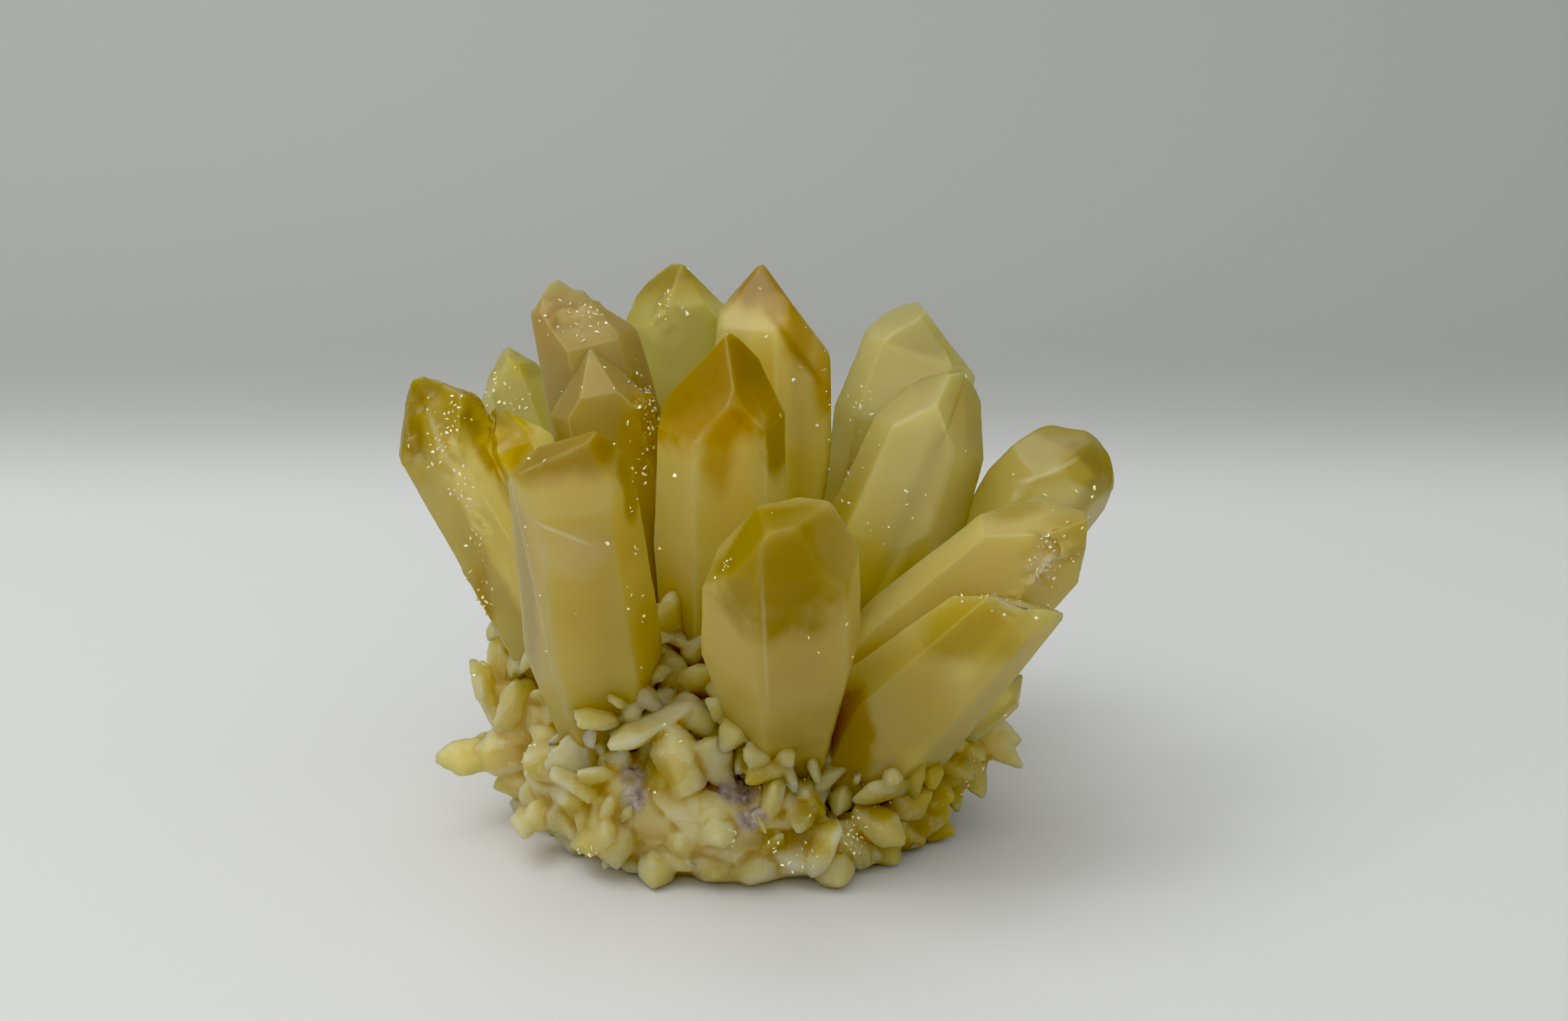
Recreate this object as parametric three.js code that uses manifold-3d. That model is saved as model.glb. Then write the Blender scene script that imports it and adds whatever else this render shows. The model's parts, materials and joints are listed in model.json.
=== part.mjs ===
// A citrine cluster: big quartz crystals that fan out of a lump of matrix, which is crusted with small ones.
// Units are millimetres, +Z is up and -Y is the front. The origin is on the flat that the cluster stands on,
// near its middle.
import * as THREE from "three";
import { ConvexGeometry } from "three/addons/geometries/ConvexGeometry.js";
import { mergeVertices } from "three/addons/utils/BufferGeometryUtils.js";
import Module from "manifold-3d";

const wasm = await Module();
wasm.setup();

// Driving dimensions.
const GAP = 0.3; // between pieces that meet
const POINT_ANGLE = 38.2; // between a quartz point's face and the crystal's axis, degrees
const ROCK_PROFILE = [
  // radius and height of the matrix, from under the flat it is cut off at to its top
  [0, -4],
  [18, -4],
  [21.5, 0],
  [24, 4],
  [25.5, 8.5],
  [24.5, 12.5],
  [20, 16],
  [11, 18.5],
  [0, 19],
];
const ROCK_SHIFT = -2; // of the matrix's middle from the origin, along X
const CRUST_SEED = 11;

const UP = new THREE.Vector3(0, 0, 1);
const FRONT = new THREE.Vector3(0, -1, 0);
const degrees = THREE.MathUtils.degToRad;

// ---- Crystals as convex bodies ----

// A half-space: the side of a flat face that the crystal is on.
function face(normal, through) {
  const unit = normal.clone().normalize();
  return new THREE.Plane(unit, -unit.dot(through));
}

// The axis of a crystal and the two directions across it: towards the front and to the side.
function directions(root, tip) {
  const axis = tip.clone().sub(root).normalize();
  const front = FRONT.clone().addScaledVector(axis, -FRONT.dot(axis));
  if (front.length() < 0.3) front.copy(UP).addScaledVector(axis, -UP.dot(axis));
  front.normalize();
  return { axis, front, side: new THREE.Vector3().crossVectors(axis, front) };
}

// A quartz crystal's faces. Its prism is widest at the belt and leans in by the narrow angles towards the
// root and the tip. Each face of the point passes through the tip, or the millimetres under it that cuts
// gives, counted from the front face round by the right. Each worn entry is one more face: how far it leans
// out from the axis, where it lies round it (0 front, 90 right), and how far under the tip it crosses the
// axis.
function quartzFaces({ root, tip, width, depth, turn = 0, belt = 0.55, narrow = [7, 2], cuts = [], worn = [] }) {
  const from = new THREE.Vector3(...root);
  const to = new THREE.Vector3(...tip);
  const { axis, front, side } = directions(from, to);
  const beltCentre = from.clone().lerp(to, belt);
  const around = (angle) =>
    front.clone().multiplyScalar(Math.cos(angle)).addScaledVector(side, Math.sin(angle));
  const leaning = (out, angle) =>
    out.clone().multiplyScalar(Math.cos(angle)).addScaledVector(axis, Math.sin(angle));
  const underTip = (distance) => to.clone().addScaledVector(axis, -distance);
  const [rootLean, tipLean] = narrow.map(degrees);
  const faces = [face(axis.clone().negate(), from)];
  for (let i = 0; i < 6; i++) {
    const angle = degrees(turn + 60 * i);
    const out = around(angle);
    const radius = Math.hypot(Math.cos(angle) * depth, Math.sin(angle) * width) / 2;
    const onBelt = beltCentre.clone().addScaledVector(out, radius);
    faces.push(face(leaning(out, -rootLean), onBelt));
    faces.push(face(leaning(out, tipLean), onBelt));
    faces.push(face(leaning(out, degrees(POINT_ANGLE)), underTip(cuts[i] ?? 0)));
  }
  for (const [lean, place, below] of worn)
    faces.push(face(leaning(around(degrees(place)), degrees(90 - lean)), underTip(below)));
  return faces;
}

// The corners of the space inside a set of faces: each point where three faces meet and none is crossed.
function corners(faces) {
  const found = [];
  const inside = (p) => faces.every((f) => f.distanceToPoint(p) < 1e-6);
  for (let i = 0; i < faces.length; i++)
    for (let j = i + 1; j < faces.length; j++)
      for (let k = j + 1; k < faces.length; k++) {
        const [a, b, c] = [faces[i], faces[j], faces[k]];
        const bc = b.normal.clone().cross(c.normal);
        const volume = a.normal.dot(bc);
        if (Math.abs(volume) < 1e-6) continue;
        const p = bc
          .multiplyScalar(-a.constant)
          .addScaledVector(c.normal.clone().cross(a.normal), -b.constant)
          .addScaledVector(a.normal.clone().cross(b.normal), -c.constant)
          .divideScalar(volume);
        if (inside(p) && found.every((q) => q.distanceTo(p) > 0.02)) found.push(p);
      }
  return found;
}

const grown = (faces, by) => faces.map((f) => new THREE.Plane(f.normal, f.constant - by));

// ---- Solids ----

function solidOf(geometry) {
  const bare = geometry.clone();
  bare.deleteAttribute("normal");
  bare.deleteAttribute("uv");
  const merged = mergeVertices(bare, 1e-3);
  return new wasm.Manifold(
    new wasm.Mesh({
      numProp: 3,
      vertProperties: new Float32Array(merged.attributes.position.array),
      triVerts: new Uint32Array(merged.index.array),
    }),
  );
}

function geometryOf(solid) {
  const mesh = solid.getMesh();
  return new THREE.BufferGeometry()
    .setAttribute("position", new THREE.BufferAttribute(mesh.vertProperties, 3))
    .setIndex(new THREE.BufferAttribute(mesh.triVerts, 1));
}

const crystalSolid = (faces) => solidOf(new ConvexGeometry(corners(faces)));
const joined = (solids) => solids.reduce((a, b) => a.add(b));

// ---- The big crystals ----
// Crystals that have grown into each other are one piece, so a piece has one or more points.

const bigCrystals = {
  crystal_front_left: [
    {
      root: [-17, -12, 9], tip: [-21, -27, 62], width: 14.5, depth: 13,
      turn: 6, belt: 0.35, narrow: [10, 2], cuts: [6.5, 4, 2.5, 5, 3.5, 2], worn: [[15, -100, 8]],
    },
  ],
  crystal_front_centre: [
    {
      root: [4, -14, 7], tip: [3.5, -37, 56], width: 17, depth: 14,
      turn: 16, belt: 0.5, narrow: [10, 2], cuts: [3, 4, 1, 3, 6.5, 2], worn: [[25, -160, 8.5]],
    },
  ],
  crystal_front_right: [
    {
      root: [6.5, -6, 9], tip: [42.5, -14, 48.5], width: 16, depth: 13,
      turn: -20, belt: 0.4, narrow: [4, 5], cuts: [3.5, 1.5, 4.5, 5.5, 1, 7], worn: [[35, 150, 3]],
    },
    {
      root: [7.5, -12, 7], tip: [36.5, -22, 40.5], width: 15, depth: 12,
      turn: -8, belt: 0.35, narrow: [2, 7], cuts: [4.5, 0.5, 0.5, 1, 7, 1], worn: [[35, -130, 8]],
    },
    { root: [23, -12, 13], tip: [33.3, -9, 21.5], width: 5, depth: 4.5 },
  ],
  crystal_centre: [
    {
      root: [-4.5, -4, 9], tip: [-3, -10, 68], width: 14.5, depth: 13,
      turn: 10, belt: 0.5, narrow: [4, 2], cuts: [3.5, 5.5, 0.5, 0.5, 4, 7], worn: [[15, -110, 2]],
    },
  ],
  crystal_centre_back: [
    {
      root: [0.5, 4, 9], tip: [3, 8, 73.5], width: 15.5, depth: 13,
      turn: -26, belt: 0.6, narrow: [5, 4], cuts: [4.5, 2.5, 6, 3, 1.5, 2], worn: [[10, -150, 1]],
    },
  ],
  crystal_left: [
    {
      root: [-16, 0, 9], tip: [-43, -4, 61.5], width: 14, depth: 12,
      turn: -16, belt: 0.3, narrow: [11, 2], cuts: [7, 2, 3, 3, 1, 5], worn: [[5, -30, 4.5]],
    },
    { root: [-14, 0, 9], tip: [-31, -3, 55], width: 9, depth: 10, turn: 10, cuts: [0, 0, 2, 0, 0, 0] },
  ],
  crystal_back_left: [
    {
      root: [-9.5, 4, 9], tip: [-23, 6, 72.5], width: 12, depth: 12,
      turn: 12, belt: 0.65, narrow: [11, 3], cuts: [5.5, 5, 6, 3.5, 1, 1], worn: [[15, -110, 4]],
    },
    { root: [-10, -1, 9], tip: [-19.5, -1, 60.5], width: 13.5, depth: 9, turn: 4 },
  ],
  crystal_rear_left: [
    {
      root: [-7.5, 12, 9], tip: [-10, 24, 72], width: 15, depth: 12,
      turn: 6, belt: 0.6, narrow: [10, 3], cuts: [4, 4, 5, 3, 1, 5], worn: [[20, -40, 3.5]],
    },
  ],
  crystal_rear_far_left: [
    {
      root: [-17.5, 11, 9], tip: [-35.5, 30, 58], width: 10.5, depth: 11,
      turn: 2, belt: 0.55, narrow: [5, 4], cuts: [1, 2.5, 4, 3.5, 0.5, 5], worn: [[5, 140, 4.5]],
    },
  ],
  crystal_right: [
    {
      root: [6.5, 8, 9], tip: [25, 14, 69], width: 15.5, depth: 12,
      turn: -8, belt: 0.65, narrow: [9, 5], cuts: [2, 4.5, 3, 6.5, 2, 3.5], worn: [[35, 90, 8]],
    },
    {
      root: [8, 1, 9], tip: [27, 4, 62], width: 16, depth: 13,
      turn: -12, belt: 0.5, narrow: [8, 6], cuts: [4, 7, 1, 1.5, 2, 6], worn: [[30, -110, 6]],
    },
  ],
  crystal_right_low: [
    {
      root: [12.5, 6, 9], tip: [45.5, 3, 52.5], width: 13.5, depth: 12,
      turn: 0, belt: 0.7, narrow: [7, 4], cuts: [3, 0.5, 3.5, 4, 1, 4], worn: [[10, 10, 5]],
    },
  ],
  crystal_rear: [
    { root: [3, 15, 9], tip: [4, 42, 50], width: 12.5, depth: 12, turn: 10, cuts: [2, 0, 0, 1, 0, 0] },
  ],
  crystal_rear_right: [
    { root: [12, 14, 9], tip: [29, 35, 38], width: 12, depth: 11, turn: 5, cuts: [0, 2, 0, 0, 0, 1] },
  ],
};

// ---- Where big crystals press against each other ----

// The plane two crystals share: it runs through the middle of the space they both fill, square to the line
// between their axes there. Each one is cut back half the gap from it.
function meetingPlane(a, b) {
  const shared = corners([...grown(a.faces, GAP / 2), ...grown(b.faces, GAP / 2)]);
  if (shared.length < 4) return null;
  const middle = shared.reduce((sum, p) => sum.add(p), new THREE.Vector3()).divideScalar(shared.length);
  const [onA, onB] = [a, b].map((c) => c.line.closestPointToPoint(middle, false, new THREE.Vector3()));
  return face(onB.sub(onA), middle);
}

const points = Object.entries(bigCrystals).flatMap(([name, list]) =>
  list.map((crystal) => ({
    name,
    line: new THREE.Line3(new THREE.Vector3(...crystal.root), new THREE.Vector3(...crystal.tip)),
    faces: quartzFaces(crystal),
  })),
);
for (const a of points)
  for (const b of points.slice(points.indexOf(a) + 1)) {
    if (a.name === b.name) continue;
    const plane = meetingPlane(a, b);
    if (!plane) continue;
    a.faces.push(new THREE.Plane(plane.normal, plane.constant + GAP / 2));
    b.faces.push(new THREE.Plane(plane.normal.clone().negate(), -plane.constant + GAP / 2));
  }

// ---- The matrix and its crust ----

// Random numbers from a seed, so that the crust grows the same way every time.
function seeded(seed) {
  let state = seed;
  return () => {
    state = (state + 0x6d2b79f5) | 0;
    let t = Math.imul(state ^ (state >>> 15), 1 | state);
    t = (t + Math.imul(t ^ (t >>> 7), 61 | t)) ^ t;
    return ((t ^ (t >>> 14)) >>> 0) / 4294967296;
  };
}

// The rock: a turned profile, wider on the left, pushed in and out in soft lumps and sunk in front, where the
// front crystal leaves it.
function rockSolid() {
  const curve = ROCK_PROFILE.map(([radius, height]) => new THREE.Vector2(radius, height));
  const geometry = new THREE.LatheGeometry(curve, 22).rotateX(Math.PI / 2);
  const position = geometry.attributes.position;
  const p = new THREE.Vector3();
  for (let i = 0; i < position.count; i++) {
    p.fromBufferAttribute(position, i);
    const across = Math.sin(0.34 * p.x + 0.9) * Math.sin(0.29 * p.y + 2.1);
    const lump = across + 0.6 * Math.sin(0.5 * p.z + 0.4 * p.x);
    const swell = 1 + 0.035 * lump - 0.0035 * p.x;
    const nearFront = Math.exp(-((p.x - 7) ** 2 + (p.y + 21) ** 2) / 90);
    const sink = 5 * nearFront * THREE.MathUtils.clamp(p.z / 9, 0, 1);
    const rise = p.z > 0 ? 0.8 * lump - sink : 0;
    position.setXYZ(i, p.x * swell + ROCK_SHIFT, p.y * swell, p.z + rise);
  }
  return solidOf(geometry);
}

// A small crystal of the crust about its middle. Round is where it points, seen from above (0 right, 90 back,
// 180 left, 270 front), and rise how far up.
function crustCrystal({ middle, round, rise, length, width, flat = 1, narrow = [0, 0], ...shape }) {
  const [a, e] = [degrees(round), degrees(rise)];
  const way = new THREE.Vector3(Math.cos(a) * Math.cos(e), Math.sin(a) * Math.cos(e), Math.sin(e));
  const root = new THREE.Vector3(...middle).addScaledVector(way, -length / 2);
  const tip = new THREE.Vector3(...middle).addScaledVector(way, length / 2);
  const buried = points.some((c) => c.faces.every((f) => f.distanceToPoint(tip) < 0.8));
  if (buried) return null;
  const size = { width, depth: width * flat };
  return crystalSolid(quartzFaces({ ...shape, ...size, narrow, root: root.toArray(), tip: tip.toArray() }));
}

const BLUNT = [2.5, 1, 2, 2.5, 1.5, 2];
const CHISEL = [0, 2.5, 0, 0, 2.5, 0];

// Crystals of the crust that stand out, from the left round the front to the right.
const crustSingles = [
  { middle: [-31.5, 1, 21], round: 178, rise: 50, length: 10, width: 7.5, cuts: BLUNT },
  { middle: [-31, -2, 15], round: 185, rise: 22, length: 13, width: 9, cuts: BLUNT },
  { middle: [-30, -4, 9.5], round: 183, rise: -8, length: 12.5, width: 6, flat: 0.75, narrow: [8, 3] },
  { middle: [-29.5, -2, 5], round: 190, rise: -15, length: 8, width: 6 },
  { middle: [-27.5, -8, 5.5], round: 205, rise: 0, length: 9, width: 7.5, cuts: BLUNT },
  { middle: [-25, -12.5, 9.5], round: 215, rise: 10, length: 8, width: 6.5, cuts: BLUNT, turn: 20 },
  { middle: [-23, -15, 5.5], round: 222, rise: -5, length: 10, width: 8.5, cuts: BLUNT },
  { middle: [-22.5, -13.5, 2], round: 215, rise: -15, length: 8, width: 6.5, flat: 0.7, cuts: CHISEL },
  { middle: [-16.5, -20.5, 7], round: 280, rise: -60, length: 12, width: 6, flat: 0.8, narrow: [6, 3] },
  { middle: [-17, -17.5, 1.8], round: 240, rise: -12, length: 9, width: 6, flat: 0.8, cuts: BLUNT },
  { middle: [-14, -20, 1.5], round: 255, rise: -8, length: 9, width: 6, flat: 0.6, cuts: BLUNT },
  { middle: [-11, -21.5, 2.2], round: 262, rise: -20, length: 9, width: 4 },
  { middle: [-8, -23.5, 3.2], round: 265, rise: -10, length: 8, width: 6.5, cuts: BLUNT },
  { middle: [-4, -24.5, 2.6], round: 268, rise: -6, length: 8.5, width: 7.5, cuts: BLUNT },
  { middle: [0.5, -25, 2.4], round: 270, rise: -5, length: 8, width: 7, cuts: BLUNT, turn: 25 },
  { middle: [5.5, -24.2, 3.6], round: 275, rise: -5, length: 9, width: 8.5, flat: 0.8, cuts: BLUNT },
  { middle: [9.8, -22.5, 2], round: 285, rise: -8, length: 8, width: 4.5 },
  { middle: [13, -19.5, 3.4], round: 300, rise: 0, length: 9, width: 7.5, flat: 0.6, cuts: CHISEL },
  { middle: [16, -16.5, 1.8], round: 305, rise: -15, length: 7, width: 3.5 },
  { middle: [19, -14.5, 2.8], round: 320, rise: -5, length: 9, width: 6, cuts: CHISEL },
  { middle: [-5.8, -24.2, 9.5], round: 350, rise: -33, length: 11, width: 6.5, flat: 0.65, narrow: [14, 4] },
  { middle: [-9, -13, 21], round: 270, rise: 80, length: 11, width: 6.5, cuts: BLUNT },
  { middle: [-7.3, -17.5, 19], round: 290, rise: 25, length: 9, width: 6.5, flat: 0.75 },
  { middle: [-12, -18, 15.5], round: 270, rise: 75, length: 12, width: 3 },
  { middle: [-4, -21, 15], round: 300, rise: 35, length: 8, width: 5.5, flat: 0.6 },
  { middle: [-7.5, -21.5, 14], round: 260, rise: 55, length: 9, width: 3.5 },
  { middle: [14.5, -19, 7], round: 305, rise: 10, length: 9.5, width: 8.5, flat: 0.8, cuts: BLUNT },
  { middle: [19, -16.5, 8.5], round: 320, rise: 20, length: 8, width: 5.5 },
  { middle: [22.5, -11.5, 4.5], round: 330, rise: 0, length: 10, width: 7.5, cuts: BLUNT },
  { middle: [25, -6.5, 6.5], round: 340, rise: 0, length: 9, width: 7, cuts: CHISEL },
  { middle: [27.5, -3, 11], round: 357, rise: -3, length: 14, width: 5.5, narrow: [0, 4] },
  { middle: [27.5, -2, 14], round: 0, rise: 60, length: 7, width: 3.5 },
  { middle: [27, -4.5, 8], round: 340, rise: -55, length: 8, width: 4.5 },
];

// The rest of the crust in bands: the part of the way round it fills, how far out and up its middles are, how
// many there are, how far they rise, and how long and wide they are.
const crustBands = [
  { from: -28, to: 205, out: 21.5, up: 2, count: 22, rise: -8, length: 9, width: 6 },
  { from: -30, to: 190, out: 25, up: 5.5, count: 18, rise: 4, length: 8.5, width: 6.5 },
  { from: -15, to: 178, out: 25, up: 10, count: 17, rise: 14, length: 8.5, width: 6.5 },
  { from: -15, to: 195, out: 22, up: 14.5, count: 17, rise: 38, length: 9, width: 6 },
  { from: 0, to: 360, out: 14, up: 17.5, count: 16, rise: 60, length: 8, width: 5 },
  { from: 205, to: 330, out: 24, up: 6, count: 9, rise: 0, length: 8, width: 5 },
  { from: 200, to: 330, out: 24.5, up: 9.5, count: 9, rise: 8, length: 7.5, width: 5 },
];

function crustSolids() {
  const random = seeded(CRUST_SEED);
  const about = (value, spread) => value + spread * (2 * random() - 1);
  const solids = crustSingles.map(crustCrystal);
  for (const band of crustBands)
    for (let i = 0; i < band.count; i++) {
      const round = about(band.from + ((band.to - band.from) * (i + 0.5)) / band.count, 4);
      const out = about(band.out, 1) * (1 - 0.09 * Math.cos(degrees(round)));
      solids.push(
        crustCrystal({
          middle: [
            out * Math.cos(degrees(round)) + ROCK_SHIFT,
            out * Math.sin(degrees(round)),
            about(band.up, 1),
          ],
          round: about(round, 16),
          rise: about(band.rise, 16),
          length: about(band.length, 1.5),
          width: about(band.width, 1.4),
          flat: about(0.8, 0.25),
          turn: about(0, 30),
          cuts: [[], BLUNT, CHISEL][Math.floor(3 * random())],
        }),
      );
    }
  return solids.filter((solid) => solid !== null);
}

// Cut off flat underneath, hollowed where the big crystals sit, and rid of any splinter that leaves.
function matrixSolid() {
  const below = solidOf(new THREE.BoxGeometry(120, 120, 40).translate(0, 0, -20));
  const sockets = points.map((c) => crystalSolid(grown(c.faces, GAP)));
  const whole = joined([rockSolid(), ...crustSolids()]).subtract(joined([below, ...sockets]));
  return whole.decompose().sort((a, b) => b.volume() - a.volume())[0];
}

// ---- The pieces ----

const cluster = new THREE.Group();

function addPiece(name, solid, color, roughness) {
  const material = new THREE.MeshStandardMaterial({ color, roughness, metalness: 0 });
  const mesh = new THREE.Mesh(geometryOf(solid), material);
  mesh.name = name;
  cluster.add(mesh);
}

addPiece("matrix", matrixSolid(), 0xc9b878, 0.6);
for (const name of Object.keys(bigCrystals)) {
  const own = points.filter((c) => c.name === name);
  addPiece(name, joined(own.map((c) => crystalSolid(c.faces))), 0xc4ad5c, 0.3);
}

export default cluster;
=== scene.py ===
import json
import math

import bmesh
import bpy
import numpy as np
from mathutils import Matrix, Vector, noise
from mathutils.bvhtree import BVHTree

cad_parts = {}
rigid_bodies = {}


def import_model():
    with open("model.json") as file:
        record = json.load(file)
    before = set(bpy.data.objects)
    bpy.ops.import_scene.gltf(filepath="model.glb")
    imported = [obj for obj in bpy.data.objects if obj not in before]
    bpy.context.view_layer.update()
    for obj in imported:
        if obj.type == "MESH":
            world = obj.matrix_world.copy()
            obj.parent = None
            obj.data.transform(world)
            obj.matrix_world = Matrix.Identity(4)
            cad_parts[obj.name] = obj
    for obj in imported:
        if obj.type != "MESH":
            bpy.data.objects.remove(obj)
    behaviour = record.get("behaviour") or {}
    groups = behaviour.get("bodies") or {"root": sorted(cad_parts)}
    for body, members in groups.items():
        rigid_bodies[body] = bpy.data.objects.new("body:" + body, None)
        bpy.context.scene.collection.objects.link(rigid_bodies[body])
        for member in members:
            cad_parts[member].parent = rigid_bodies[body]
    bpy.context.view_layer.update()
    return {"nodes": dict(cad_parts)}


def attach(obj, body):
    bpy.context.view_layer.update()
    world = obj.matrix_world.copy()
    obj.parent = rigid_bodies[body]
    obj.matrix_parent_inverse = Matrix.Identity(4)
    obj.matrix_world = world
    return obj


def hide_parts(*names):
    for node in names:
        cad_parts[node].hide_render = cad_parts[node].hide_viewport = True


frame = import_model()

# ---- Camera ----
# A close view from about 23 cm in front of the cluster and 5 cm above its tips, level across and tipped
# down onto the front.
SENSOR_WIDTH = 36
HALF_VIEW = math.radians(19)
TIPPED_DOWN = 16

camera = bpy.data.objects.new("camera", bpy.data.cameras.new("camera"))
bpy.context.scene.collection.objects.link(camera)
camera.location = (0.004, -0.272, 0.1179)
camera.rotation_euler = (math.radians(90 - TIPPED_DOWN), 0, 0)
camera.data.sensor_width = SENSOR_WIDTH
camera.data.lens = SENSOR_WIDTH / 2 / math.tan(HALF_VIEW)
camera.data.clip_start = 0.01
bpy.context.scene.camera = camera

# ---- Matrix rock ----
# The lump of quartz rock that the cluster grew from, with the larger crystals of its crust on it. It is cut
# off flat underneath and rests on the cut. The next section grows the rest of its crust and finishes it.
SAME_PLACE = 2e-6
SAME_PLANE = math.radians(0.6)
ROCK_VOXEL = 0.0004


def merged_copy(node, name):
    """A copy of a node's mesh with its doubles merged and its flat faces joined into one each."""
    mesh = frame["nodes"][node].data.copy()
    mesh.materials.clear()
    mesh.name = name
    bm = bmesh.new()
    bm.from_mesh(mesh)
    bmesh.ops.remove_doubles(bm, verts=bm.verts, dist=SAME_PLACE)
    bmesh.ops.dissolve_limit(bm, angle_limit=SAME_PLANE, verts=bm.verts, edges=bm.edges)
    bm.to_mesh(mesh)
    bm.free()
    piece = bpy.data.objects.new(name, mesh)
    bpy.context.scene.collection.objects.link(piece)
    return piece


def made_plain(piece):
    """Turns what the piece's modifiers make of it into its own mesh."""
    result = bpy.data.meshes.new_from_object(piece.evaluated_get(bpy.context.evaluated_depsgraph_get()))
    piece.modifiers.clear()
    old = piece.data
    piece.data = result
    bpy.data.meshes.remove(old)
    result.name = piece.name


def remeshed(piece, voxel, soften):
    """Gives the piece an even fine mesh, with its edges rounded over by a few smoothings."""
    remesh = piece.modifiers.new("remesh", "REMESH")
    remesh.mode = "VOXEL"
    remesh.voxel_size = voxel
    smooth = piece.modifiers.new("soften", "SMOOTH")
    smooth.factor = 0.5
    smooth.iterations = soften
    made_plain(piece)


def corners_of(mesh):
    """The mesh's vertices, their outward directions and the two ends of each edge, as arrays."""
    places = np.empty(len(mesh.vertices) * 3)
    mesh.vertices.foreach_get("co", places)
    normals = np.empty(len(mesh.vertices) * 3)
    mesh.vertices.foreach_get("normal", normals)
    edges = np.empty(len(mesh.edges) * 2, dtype=np.int64)
    mesh.edges.foreach_get("vertices", edges)
    return places.reshape(-1, 3), normals.reshape(-1, 3), edges.reshape(-1, 2)


def move_corners(mesh, places):
    mesh.vertices.foreach_set("co", places.ravel())
    mesh.update()


def settled(places, edges, rounds):
    """The places after each vertex has moved to the middle of its neighbours, so many times over."""
    ends = np.concatenate([edges, edges[:, ::-1]])
    count = np.bincount(ends[:, 0], minlength=len(places)).clip(1)[:, None]
    for _ in range(rounds):
        columns = [np.bincount(ends[:, 0], places[ends[:, 1], k], len(places)) for k in range(3)]
        places = np.stack(columns, axis=1) / count
    return places


def faces_of(mesh):
    """The mesh's faces in a tree that finds the nearest point on them."""
    return BVHTree.FromPolygons([v.co[:] for v in mesh.vertices], [p.vertices[:] for p in mesh.polygons])


def drawn_to(faces, places):
    """The nearest point on the faces to each place."""
    return np.array([faces.find_nearest(Vector(p))[0] for p in places])


matrix = merged_copy("matrix", "crusted_matrix")
true_faces = faces_of(matrix.data)
remeshed(matrix, ROCK_VOXEL, 1)
places, normals, edges = corners_of(matrix.data)
move_corners(matrix.data, settled(drawn_to(true_faces, places), edges, 1))

# ---- Crust of small crystals ----
# Thin quartz blades and stubs a few millimetres long grow from the rock every way and crowd round the feet
# of the big crystals. They and the rock have grown into one waxy skin, with grey-lilac druse in its hollows.
# Fine grit and tiny glittering grains sit on it.

# Steps through the noise, so that each seed, chip and lump draws values of its own.
SEED_STEP = (7.3, 3.1, 5.7)
TILT_STEP = 13.7
HEIGHT_STEP = 5.1
TONE_STEP = 31.0
CHIP_HEIGHT = 0.5
CHIP_TILT = 1.6
# Without a seed of its own noise_vector starts from the clock, and no two runs give the same chips.
noise.seed_set(1)


def lumps(places, size, seed):
    """Smooth noise from -1 to 1 at each place, with lumps of the given size in metres."""
    shift = Vector([seed * step for step in SEED_STEP])
    return np.array([noise.noise(Vector(p) / size + shift) for p in places])


def chips(places, size, seed):
    """Height from -1 to 1 of a surface broken into small flat chips that each tilt their own way."""
    shift = Vector((seed, seed, seed))
    heights = []
    for p in places:
        spot = Vector(p) / size + shift
        middle = noise.voronoi(spot)[1][0]
        tilt = noise.noise_vector(middle * TILT_STEP)
        height = CHIP_HEIGHT * noise.noise(middle * HEIGHT_STEP)
        heights.append(height + (spot - middle).dot(tilt) * CHIP_TILT)
    return np.clip(np.array(heights), -1, 1)


def lump_tones(places, size, seed):
    """One random number from -1 to 1 for each lump of about that size."""
    shift = Vector((seed, seed, seed))
    middles = [noise.voronoi(Vector(p) / size + shift)[1][0] for p in places]
    return np.array([noise.cell(middle * TONE_STEP) for middle in middles])


def near(places, middle, reach, soft=0.5):
    """1 inside an ellipsoid, falling to 0 across its edge. Middle and reach are in millimetres."""
    away = np.linalg.norm((places * 1000 - np.array(middle)) / np.array(reach), axis=1)
    return np.clip((1 - away) / soft + 0.5, 0, 1)


def store(mesh, name, values):
    held = mesh.attributes.get(name) or mesh.attributes.new(name, "FLOAT", "POINT")
    held.data.foreach_set("value", values.astype(np.float32))


# Where the crust has druse (middle, radius), and where it is pale or amber (middle, reach), in millimetres.
# One amber spot is painted shadow.
CRUST_DRUSE = [
    ((-24.6, -13, 11.8), 1.8), ((-14.1, -21.3, 13.2), 1.5), ((-13.7, -23, 11.2), 1.6),
    ((-1.8, -23, 12.4), 2.4), ((0.2, -25.6, 9.8), 1.9), ((10.2, -23, 13.8), 1.6), ((-10, 24, 12), 6),
    ((20, 18, 10), 5), ((-28, 12, 12), 5), ((27, 6, 10), 3), ((4, 27, 6), 5), ((-30, 4, 4), 3),
]
CRUST_PALE = [
    ((-30.4, -5.4, 15.2), (3, 3, 2.2)), ((-27, -12.5, 10), (2.6, 3, 3)), ((-24, -15, 9), (2, 3, 3)),
    ((-9.5, -21, 22.5), (4.5, 4, 2.6)), ((-4, -24.5, 15), (2.5, 3, 3)), ((-7, -25.5, 9), (2.5, 3, 2.2)),
    ((6, -26, 3.5), (5, 3, 1.6)), ((-15, -24, 3), (3, 3, 2)), ((1.8, -27, 1.6), (2.6, 3, 1.4)),
    ((-24.5, -15, 5.6), (2, 3, 1.5)),
]
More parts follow.
